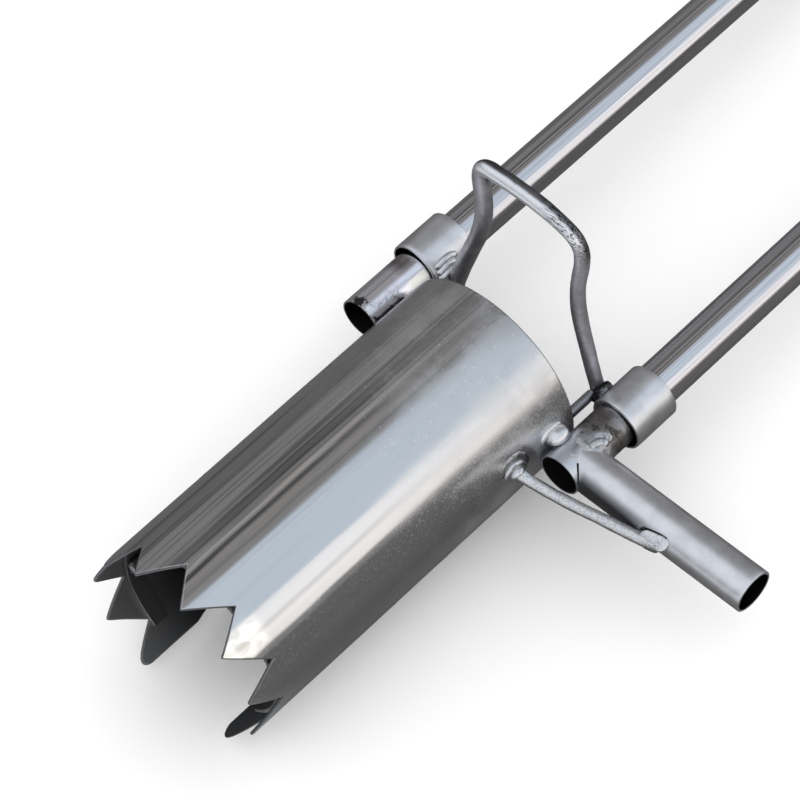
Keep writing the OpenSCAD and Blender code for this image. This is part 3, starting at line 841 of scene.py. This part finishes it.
# %% Bridge
# x, z and girth along the rod
BRIDGE = [(-45.0, -3, 1.05), (-43.8, 2, 1.05), (-41.2, 13, 1.05), (-38.2, 24, 1.06), (-34.7, 36, 1.04),
          (-31.0, 49, 1.04), (-28.4, 62, 1.05), (-27.6, 72, 1.05), (-27.9, 80, 1.04), (-28.8, 88, 1.03),
          (-29.7, 95, 1.02), (-29.3, 100.6, 1.0), (-27.2, 104.0, 1.0), (-23.4, 105.6, 1.0),
          (-19, 106.1, 1.0), (-12, 107.0, 1.0), (-6, 107.4, 0.99), (0, 107.6, 0.98), (6, 107.4, 0.97),
          (12, 106.8, 0.95), (18, 105.7, 0.93), (23, 104.2, 0.92), (26.6, 102.2, 0.92),
          (29.0, 99.2, 0.91), (30.5, 95.4, 0.91), (31.0, 90.8, 0.92), (30.8, 84.5, 0.92),
          (30.1, 78.3, 0.91), (29.4, 71, 0.90), (29.2, 64.5, 0.91), (29.5, 57.5, 0.92),
          (30.3, 50.3, 0.93), (31.6, 43.6, 0.93), (33.1, 37.2, 0.92), (34.9, 30.6, 0.91),
          (36.6, 24.2, 0.90), (38.3, 17.8, 0.89), (40.2, 11.2, 0.88), (42.2, 4.8, 0.88), (44.2, -3, 0.9)]
bridge_places = [(x, BRIDGE_Y, z, girth) for x, z, girth in BRIDGE]
bridge = swept_rod("bridge_bent_rod", bridge_places, 4.0, rod_steel, 0.35, 4.0)
hand_over(bridge, "ejector", "worn_rod", "bridge_rod")

# %% Brace
# x, y, z and girth along the rod
BRACE = [(48.9, -39.8, 8.0, 1.15), (50.4, -39.4, 7.8, 1.12), (53.0, -38.3, 6.7, 1.04),
         (57, -37.3, 5.6, 0.97), (62, -36.1, 4.7, 0.95), (67, -34.9, 3.8, 0.94), (72, -33.7, 3.3, 0.95),
         (77, -32.5, 2.7, 0.96), (82, -31.2, 2.4, 0.97), (87, -30.0, 2.4, 0.98), (92, -28.8, 2.4, 1.0),
         (101, -26.6, 1.8, 1.0), (111, -24.2, 1.4, 1.0), (116, -23.0, 1.9, 1.0),
         (120.5, -22.0, 3.2, 1.0)]
brace = swept_rod("brace_rod", BRACE, 3.0, brace_steel, 0.5, 2.2)
hand_over(brace, "frame", "worn_rod", "pedal_brace")

# %% [markdown]
# ## Weld beads
#
# A bead is a row of puddles: each froze over the last one, so its skin shows crescents, and its ends
# are round. The recipe lays a closed, domed strip along a guide line on the steel's surface, with the
# crescents, a few lumps, and a number that tells the finish how burnt it is. Where a bead would poke
# into the barrel's bore, its points are pushed out again, so that the ring can pass.

# %% Bead recipe: its guide
weld = Recipe("weld_bead")
before = weld.given("Before", "Geometry")
guide = weld.given("Guide", "Object")
width, height, sunk = weld.given("Width"), weld.given("Height"), weld.given("Sunk")
pitch, ripple, lumps, burn = (weld.given(n) for n in ("Pitch", "Ripple", "Lumps", "Burn"))
clear = weld.given("Clear")
path = weld.node("ObjectInfo", {"transform_space": "RELATIVE"}, {"Object": guide}, "Geometry")
path = weld.node("MeshToCurve", None, {0: path})
path = weld.node("CurveSplineType", {"spline_type": "CATMULL_ROM"}, {0: path})
path = weld.node("ResampleCurve", {"mode": "LENGTH"}, {0: path, "Length": 0.0006})
length = weld.node("CurveLength", None, {0: path})
strip = weld.node("MeshGrid", None, {"Size X": 1.0, "Size Y": 1.0, "Vertices X": 90, "Vertices Y": 49})
grid_x, grid_y, _ = weld.parts(weld.node("InputPosition"))
part_way, turn = grid_x + 0.5, (grid_y + 0.5) * (2 * math.pi)
up_attribute = weld.attribute("up", "FLOAT_VECTOR")


def on_guide(output):
    return weld.node("SampleCurve", {"mode": "FACTOR", "data_type": "FLOAT_VECTOR"},
                     {"Curves": path, "Value": up_attribute, "Factor": part_way}, output)


centre, tangent, up = on_guide("Position"), on_guide("Tangent"), on_guide("Value")
side = tangent.vector("CROSS_PRODUCT", up).vector("NORMALIZE", (0, 0, 0))
up = side.vector("CROSS_PRODUCT", tangent).vector("NORMALIZE", (0, 0, 0))
from_end = (part_way.math("MINIMUM", 1 - part_way) * length / (width / 2)).math("MINIMUM", 1.0)
taper = (1 - (1 - from_end) * (1 - from_end)).math("MAXIMUM", 0.0).math("SQRT")
print("guide of the bead:", len(weld.nodes), "nodes")

# %% Bead recipe: its skin
across = turn.math("COSINE")
crescent = (part_way * length / pitch - across * across * (width / 2 / pitch) * 0.8) * math.pi
ridge = crescent.math("SINE").math("ABSOLUTE") - 0.6
dome = turn.math("SINE")
lift = (dome * (dome.rise(-0.3, 0.3) * height + (1 - dome.rise(-0.3, 0.3)) * sunk)
        + dome.rise(0.0, 0.4) * ridge * ripple) * taper
flat = centre.vector("ADD", side.scaled(across * (width / 2) * taper)).vector("ADD", up.scaled(lift))
lump = (weld.noise(flat.scaled(1 / MM), 0.42, 3.0, 0.6) - 0.5) * lumps
bent = flat.vector("ADD", up.scaled(lump * taper * dome.rise(-0.2, 0.3)))
skin_x, skin_y, skin_z = weld.parts(bent)
skin_z = skin_z - AXIS_Z
push_out = (clear / (skin_x * skin_x + skin_z * skin_z).math("SQRT")).math("MAXIMUM", 1.0)
push_out = 1 + (push_out - 1) * skin_y.math("LESS_THAN", RIM_Y)
bent = weld.joined(skin_x * push_out, skin_y, skin_z * push_out + AXIS_Z)
bead_mesh = weld.node("SetPosition", None, {0: strip, "Position": bent})
bead_mesh = weld.node("MergeByDistance", None, {0: bead_mesh, "Distance": ONE_POINT})
bead_mesh = weld.node("StoreNamedAttribute", None, {0: bead_mesh, "Name": "burn", "Value": burn})
weld.close(bead_mesh, before)
print("bead recipe:", len(weld.nodes), "nodes")


# %% Lay a bead
BORE_CLEAR = BARREL_R - 1


def bead(piece, points, ups, width, height, pitch=2.0, ripple=0.15, lumps=0.4, burn=0.1, sunk=0.8):
    """Adds a bead along points; ups is the surface's outward direction at each. Returns its guide.

    Sizes are in mm: how wide and high it is, from one puddle to the next, how deep the crescents and
    the lumps are, and how far it reaches below its guide. Burn goes from 0, clean, to about 1, black.
    """
    flat_ups = [number for up in ups for number in Vector(up).normalized()]
    line = guide_line(piece.name + "_line", points, "up", flat_ups, ("FLOAT_VECTOR", "vector"))
    weld.add_to(piece, {"Guide": line, "Width": width * MM, "Height": height * MM, "Sunk": sunk * MM,
                        "Pitch": pitch * MM, "Ripple": ripple * MM, "Lumps": lumps * MM, "Burn": burn,
                        "Clear": BORE_CLEAR * MM, "Finish": weld_metal})
    return line


def weld_joint(node, body, rows):
    """Makes a joint's weld from rows of bead() values, in place of the CAD model's plain bead."""
    piece = new_piece(node + "_beads")
    lines = [bead(piece, *row) for row in rows]
    print(piece.name, "faces:", keep_result(piece, lines))
    hand_over(piece, body, "weld_bead", node)


def from_line(points, axis, centre):
    """Outward directions of points on a tube: axis 0 or 1 is the tube's own, centre is a place on it."""
    ups = [[p - c for p, c in zip(point, centre)] for point in points]
    for up in ups:
        up[axis] = 0.0
    return ups


ROUND_POLE = (1, (POLE_X, 0, 0))
ROUND_LEFT_POLE = (1, (-POLE_X, 0, 0))
ROUND_BARREL = (1, (0, 0, 0))
print(f"beads stay outside a radius of {BORE_CLEAR:.1f} mm")

# %% [markdown]
# ## The beads of each joint
#
# Two tubes of one width meet in a saddle, so the pedal's bead follows a sine on both sides, and a wide
# smear lies over its crown. The brace ends in a fan of beads at the barrel and in a flat cap on the
# pedal. The poles are held by a ball of metal on the right, a rough seam on the left and seams below.
# The bridge's feet are fans on the left and burnt knots on the right. Their places were measured one
# by one, since no rule gives them.

# %% Welds of the pedal
# The far arm was measured a little off the true saddle
far_turns = [math.radians(d) for d in (-6, 8, 22, 36, 50, 64, 80, 96, 112)]
far_arm = [(POLE_X + TUBE_R * math.sin(turn) * 0.98 - 1.2, PEDAL_Y + TUBE_R * math.sin(turn) * 1.05 + 2.4,
            TUBE_R * math.cos(turn) + 0.2) for turn in far_turns]
far_ups = [(0.45, 0.35, 1.0)] * 4 + [(1, 0.6, 0.5)] * 3 + [(1, 0.6, -0.2)] * 2
near_turns = [math.radians(d) for d in (30, 42, 54, 66, 78)]
near_arm = [(POLE_X + TUBE_R * math.sin(turn), PEDAL_Y - TUBE_R * math.sin(turn), TUBE_R * math.cos(turn))
            for turn in near_turns]
near_ups = [(0.6, -0.5, 0.7)] * 3 + [(1, -0.8, 0.3)] * 2
crest = [(64.4, -17.8, 10.7), (62.9, -13.5, 11.0), (62.5, -9.0, 11.0), (62.8, -5.2, 11.0),
         (64.0, -1.9, 10.8), (65.8, 0.4, 10.3), (67.9, 1.8, 9.2), (70.2, 2.6, 7.2)]
inner = [(66.6, -10.6, 10.2), (66.2, -7.2, 10.2), (67.0, -3.6, 9.8), (68.6, -1.2, 8.8), (70.2, 0.4, 7.4)]
weld_joint("pedal_weld", "frame", [
    (far_arm, far_ups, 11.5, 1.4, 9.0, 0.05, 0.4, 0.17),
    (crest, from_line(crest, *ROUND_POLE), 4.6, 0.8, 12.0, 0.03, 0.35, 0.15),
    (inner, [(0.5, 0.1, 1.0)] * 5, 4.6, 1.8, 12.0, 0.03, 0.35, 0.12),
    (near_arm, near_ups, 1.6, 0.3, 6.0, 0.0, 0.1, 0.75),
])

# %% Welds of the brace
fan_outer = [(48.9, -46.2, 6.0), (48.2, -46.3, 10.0), (47.6, -43.8, 14.2), (47.4, -39.6, 15.8),
             (47.7, -35.2, 14.9), (48.8, -32.3, 10.5), (49.4, -32.0, 5.5)]
fan_middle = [(49.6, -44.0, 6.5), (49.2, -43.4, 10.2), (49.0, -40.6, 12.2), (49.4, -37.4, 12.0),
              (50.0, -35.2, 9.0), (50.4, -35.0, 5.0)]
fan_inner = [(51.0, -41.8, 5.6), (51.4, -40.6, 8.6), (51.8, -38.8, 9.4), (52.6, -37.4, 7.6)]
weld_joint("brace_root_weld", "frame", [
    (fan_outer, from_line(fan_outer, *ROUND_BARREL), 4.4, 0.8, 12.0, 0.04, 0.6, 0.27),
    (fan_middle, from_line(fan_middle, *ROUND_BARREL), 4.4, 1.5, 12.0, 0.04, 0.5, 0.1),
    (fan_inner, [(0.6, -0.2, 0.8)] * 4, 4.8, 1.8, 12.0, 0.04, 0.4, 0.08),
])

cap = [(110.5, -24.2, 3.2), (114.0, -23.4, 4.0), (118.0, -22.6, 4.9), (121.5, -22.0, 5.4),
       (124.6, -21.6, 5.2)]
shadow = [(109.0, -22.0, 5.2), (113.5, -20.9, 6.4), (118.0, -20.1, 7.3), (122.4, -19.9, 7.6)]
drop = [(119.0, -23.6, 5.5), (119.9, -23.5, 5.6), (120.8, -23.4, 5.7)]
toe = [(112.5, -24.9, 0.6), (117.0, -24.4, 1.4), (121.5, -23.4, 2.2)]
weld_joint("brace_tip_weld", "frame", [
    (cap, [(0, -0.7, 0.7)] * 5, 7.4, 1.1, 12.0, 0.03, 0.9, 0.06, 2.4),
    (shadow, [(0, -0.5, 1)] * 4, 1.7, 0.3, 6.0, 0.0, 0.2, 0.5, 1.4),
    (drop, [(0, -0.7, 0.7)] * 3, 1.8, 0.9, 9.0, 0.0, 0.0, 0.0, 1.0),
    (toe, [(0, -0.9, 0.3)] * 3, 4.6, 1.2, 6.0, 0.05, 0.8, 0.3, 2.0),
])

# %% Welds of the poles to the barrel
ball = [(50.4, -18.9, 8.6), (50.5, -14.8, 8.8), (50.5, -10.4, 8.6), (50.4, -6.7, 8.0)]
collar_ring = [(48.9, -20.4, 8.0), (48.5, -19.6, 11.4), (48.2, -16.4, 13.4), (48.2, -11.6, 13.2),
               (48.7, -8.2, 11.0)]
under = [(50.6, -18.0, -5.6), (50.7, -13.0, -6.0), (50.8, -7.0, -6.2), (50.8, -2.0, -6.0)]
weld_joint("right_pole_weld", "frame", [
    (ball, [(-0.35, -0.1, 1.0)] * 4, 11.6, 4.8, 30.0, 0.0, 0.0, 0.03, 3.0),
    (collar_ring, from_line(collar_ring, *ROUND_BARREL), 3.0, 1.2, 30.0, 0.0, 0.1, 0.03),
    (under, [(0, 0, -1)] * 4, 5.0, 2.4, 2.2, 0.3, 0.5, 0.3, 2.0),
])

over = [(-51.3, -21.5, 6.2), (-51.2, -17.0, 6.0), (-51.2, -12.0, 6.2), (-51.3, -7.0, 5.8),
        (-51.2, -3.0, 6.0)]
under = [(-50.7, -19.0, -5.6), (-50.7, -13.0, -6.0), (-50.8, -7.0, -6.2), (-50.8, -2.0, -6.0)]
weld_joint("left_pole_weld", "frame", [
    (over, [(0.1, 0, 1)] * 5, 4.6, 1.6, 2.6, 0.35, 1.2, 0.55, 1.6),
    (under, [(0, 0, -1)] * 4, 5.0, 2.4, 2.2, 0.3, 0.5, 0.3, 2.0),
])

# %% Welds of the bridge's feet
fan_a = [(-51.8, 16.4, 8.4), (-51.6, 19.6, 9.4), (-51.6, 23.0, 10.2), (-51.4, 26.6, 10.0),
         (-50.4, 29.6, 8.6)]
fan_b = [(-50.2, 15.6, 6.4), (-49.8, 18.8, 7.4), (-49.8, 22.4, 8.2), (-49.6, 25.6, 7.8),
         (-48.8, 28.2, 6.2)]
fan_c = [(-48.8, 15.4, 4.0), (-48.4, 18.4, 5.0), (-48.2, 21.2, 5.6), (-48.0, 24.0, 5.2),
         (-47.4, 26.4, 3.8)]
fan_d = [(-47.6, 15.8, 1.4), (-47.0, 18.0, 2.4), (-46.4, 20.2, 2.8), (-46.2, 22.4, 2.2)]
weld_joint("left_foot_weld", "ejector", [
    (fan_a, from_line(fan_a, *ROUND_LEFT_POLE), 3.2, 1.1, 8.0, 0.1, 0.5, 0.05),
    (fan_b, from_line(fan_b, *ROUND_LEFT_POLE), 3.2, 1.5, 8.0, 0.1, 0.6, 0.0),
    (fan_c, from_line(fan_c, *ROUND_LEFT_POLE), 3.4, 1.9, 8.0, 0.1, 0.6, 0.0),
    (fan_d, from_line(fan_d, *ROUND_LEFT_POLE), 3.4, 1.9, 8.0, 0.1, 0.6, 0.45),
])

knot_a = [(47.9, 15.6, 1.0), (46.8, 18.4, 2.6), (45.8, 21.4, 3.8), (46.4, 24.6, 3.2), (47.4, 27.4, 1.4)]
knot_b = [(49.8, 16.8, 4.8), (48.8, 19.8, 6.2), (48.8, 23.0, 6.4), (49.6, 25.8, 5.2)]
weld_joint("right_foot_weld", "ejector", [
    (knot_a, [(-0.7, 0, 0.7)] * 5, 4.6, 2.0, 3.4, 0.25, 1.2, 0.55, 1.5),
    (knot_b, [(-0.5, 0, 0.9)] * 4, 3.8, 1.3, 3.4, 0.2, 1.0, 0.45, 1.5),
])

# %% [markdown]
# ## Pipes with an open end
#
# A collar is a short piece of thin pipe, a loose fit on its pole. It hangs to one side and its bore
# twice as far as its skin, so the dark gap at its mouth is a crescent. The pedal leans back a little at
# its free end, and its other end is coped: cut to the round of the pole that it meets. Both are rings
# of points laid along a pipe, out along the skin and back through the bore, so one helper makes them.
# The bore is marked, and its finish paints it dark as shade.

# %% Pipe helper
AROUND = 96
SHARP = math.radians(50)


def pipe_mesh(name, profile, lay):
    """A closed pipe wall: lay places each (along, radius, in the bore) of its profile, all the way round."""
    turns = [2 * math.pi * i / AROUND for i in range(AROUND)]
    points = [lay(along, radius, turn, bore) for turn in turns for along, radius, bore in profile]
    rows = len(profile)
    faces = [(i * rows + r, (i + 1) % AROUND * rows + r, (i + 1) % AROUND * rows + (r + 1) % rows,
              i * rows + (r + 1) % rows) for i in range(AROUND) for r in range(rows)]
    mesh = bpy.data.meshes.new(name)
    mesh.from_pydata(points, [], faces)
    in_bore = [bore for _, _, bore in profile] * AROUND
    mesh.attributes.new("bore", "FLOAT", "POINT").data.foreach_set("value", in_bore)
    mesh.polygons.foreach_set("use_smooth", [True] * len(faces))
    mesh.materials.append(satin_steel)
    mesh.set_sharp_from_angle(angle=SHARP)
    return mesh


def pipe_profile(outer, bore, length, steps, lip=0.45, mark=0.3):
    """Out along the skin, round the lip at the far end, and back through the bore, marked a bit inside."""
    lips = [(0.0, outer - lip, 0), (lip * 0.3, outer - lip * 0.3, 0), (lip, outer, 0)]
    middle = [(lip + (length - 2 * lip) * i / steps, outer, 0) for i in range(1, steps)]
    ends = [(length - along, radius, 0) for along, radius, _ in reversed(lips)]
    back = [(length, bore, 0), (length - mark, bore, 1), (mark, bore, 1), (0.0, bore, 0)]
    return lips + middle + ends + back


print("a pipe has", AROUND, "points all the way round")

# %% Sliding collars
COLLAR_R = (collar_hi.x - collar_lo.x) / 2 / MM + 0.45
COLLAR_BORE = TUBE_R + 1.3
COLLAR_LEN = (collar_hi.y - collar_lo.y) / MM
# Where its pole is, and how far its bore hangs to the side and up
COLLARS = {"left_collar": (-POLE_X, -1.1, 0.5), "right_collar": (POLE_X, 1.1, -0.4)}


def collar_pipe(name, middle_x, hang_x, hang_z):
    """A sleeve that is a little out of round; its skin hangs half as far as its bore."""

    def lay_collar(along, radius, turn, bore):
        wave = 0.12 * math.sin(2 * turn + 1) + 0.08 * math.sin(3 * turn)
        dent = 0 if bore else wave * min(1, along / 2)
        off = 1 if radius < COLLAR_R - 1 else 0.5
        return place(middle_x + (radius + dent) * math.cos(turn) + off * hang_x, COLLAR_Y + along,
                     off * hang_z - (radius + dent) * math.sin(turn))

    return new_piece(name, pipe_mesh(name, pipe_profile(COLLAR_R, COLLAR_BORE, COLLAR_LEN, 9), lay_collar))


for name, (middle_x, hang_x, hang_z) in COLLARS.items():
    sleeve = collar_pipe(name + "_pipe", middle_x, hang_x, hang_z)
    hand_over(sleeve, "ejector", "satin_stainless", name)
    print(sleeve.name, "faces:", len(sleeve.data.polygons))

# %% Pedal
# It was cut 2 mm short, and it leans from this far out towards the handle, in mm
PEDAL_REACH = pedal_hi.x / MM - 2.0
PEDAL_LEAN, LEAN_FROM = 2.0, 72
COPE_R = TUBE_R - TUBE_WALL / 2


def lay_pedal(along, radius, turn, bore):
    """The coped end meets the pole's wall; the free end leans towards the handle."""
    z = radius * math.sin(turn)
    coped = POLE_X + math.sqrt(max(0, COPE_R ** 2 - z ** 2))
    x = max(coped, POLE_X + along)
    lean = PEDAL_LEAN * max(0, (x - LEAN_FROM) / (PEDAL_REACH - LEAN_FROM))
    return place(x, PEDAL_Y + lean + radius * math.cos(turn), z)


pedal_profile = pipe_profile(TUBE_R, TUBE_R - TUBE_WALL, PEDAL_REACH - POLE_X, 40)
pedal = new_piece("pedal_pipe", pipe_mesh("pedal_pipe", pedal_profile, lay_pedal))
hand_over(pedal, "frame", "satin_stainless", "pedal_tube")
print("pedal faces:", len(pedal.data.polygons))

# %% [markdown]
# ## Welds under the handle
#
# Each pole ends against the handle bar, and a bead runs all the way round the joint. It rises and falls
# with the bar's round, so its guide is worked out from the two radii. Two overlapping half turns make it.

# %% Handle welds
bar_lo, bar_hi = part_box("handle_bar")
BAR_R = (bar_hi.z - bar_lo.z) / 2 / MM
JOINT_R = TUBE_R + 0.5
BELOW_BAR = 0.4
for name, middle_x in (("left_handle_weld", -POLE_X), ("right_handle_weld", POLE_X)):
    half_turns = []
    for first in (-15, 165):
        turns = [math.radians(first + 15 * i) for i in range(15)]
        route = [(middle_x + JOINT_R * math.cos(turn),
                  HANDLE_Y - math.sqrt(BAR_R ** 2 - (JOINT_R * math.sin(turn)) ** 2) - BELOW_BAR,
                  JOINT_R * math.sin(turn)) for turn in turns]
        ups = [(math.cos(turn), -1.0, math.sin(turn)) for turn in turns]
        half_turns.append((route, ups, 4.4, 1.3, 2.2, 0.22, 0.5, 0.06, 1.2))
    weld_joint(name, "frame", half_turns)

# %% [markdown]
# ## Finishes for the pieces that keep their CAD shape
#
# The poles, the handle bar, the grips, the push rods and the ring with its welds are right as they
# are, so they only change their finish.

# %% Dress the carried-over pieces
DRESS = {
    pole_steel: ["left_pole", "right_pole"],
    satin_steel: ["handle_bar"],
    rod_steel: ["left_push_rod", "right_push_rod"],
    ring_steel: ["ejector_ring", "left_ring_weld", "right_ring_weld"],
    black_rubber: ["left_grip", "right_grip"],
}
for finish, names in DRESS.items():
    for name in names:
        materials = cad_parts[name].data.materials
        materials.clear()
        materials.append(finish)
print("dressed:", sum(len(names) for names in DRESS.values()), "pieces")
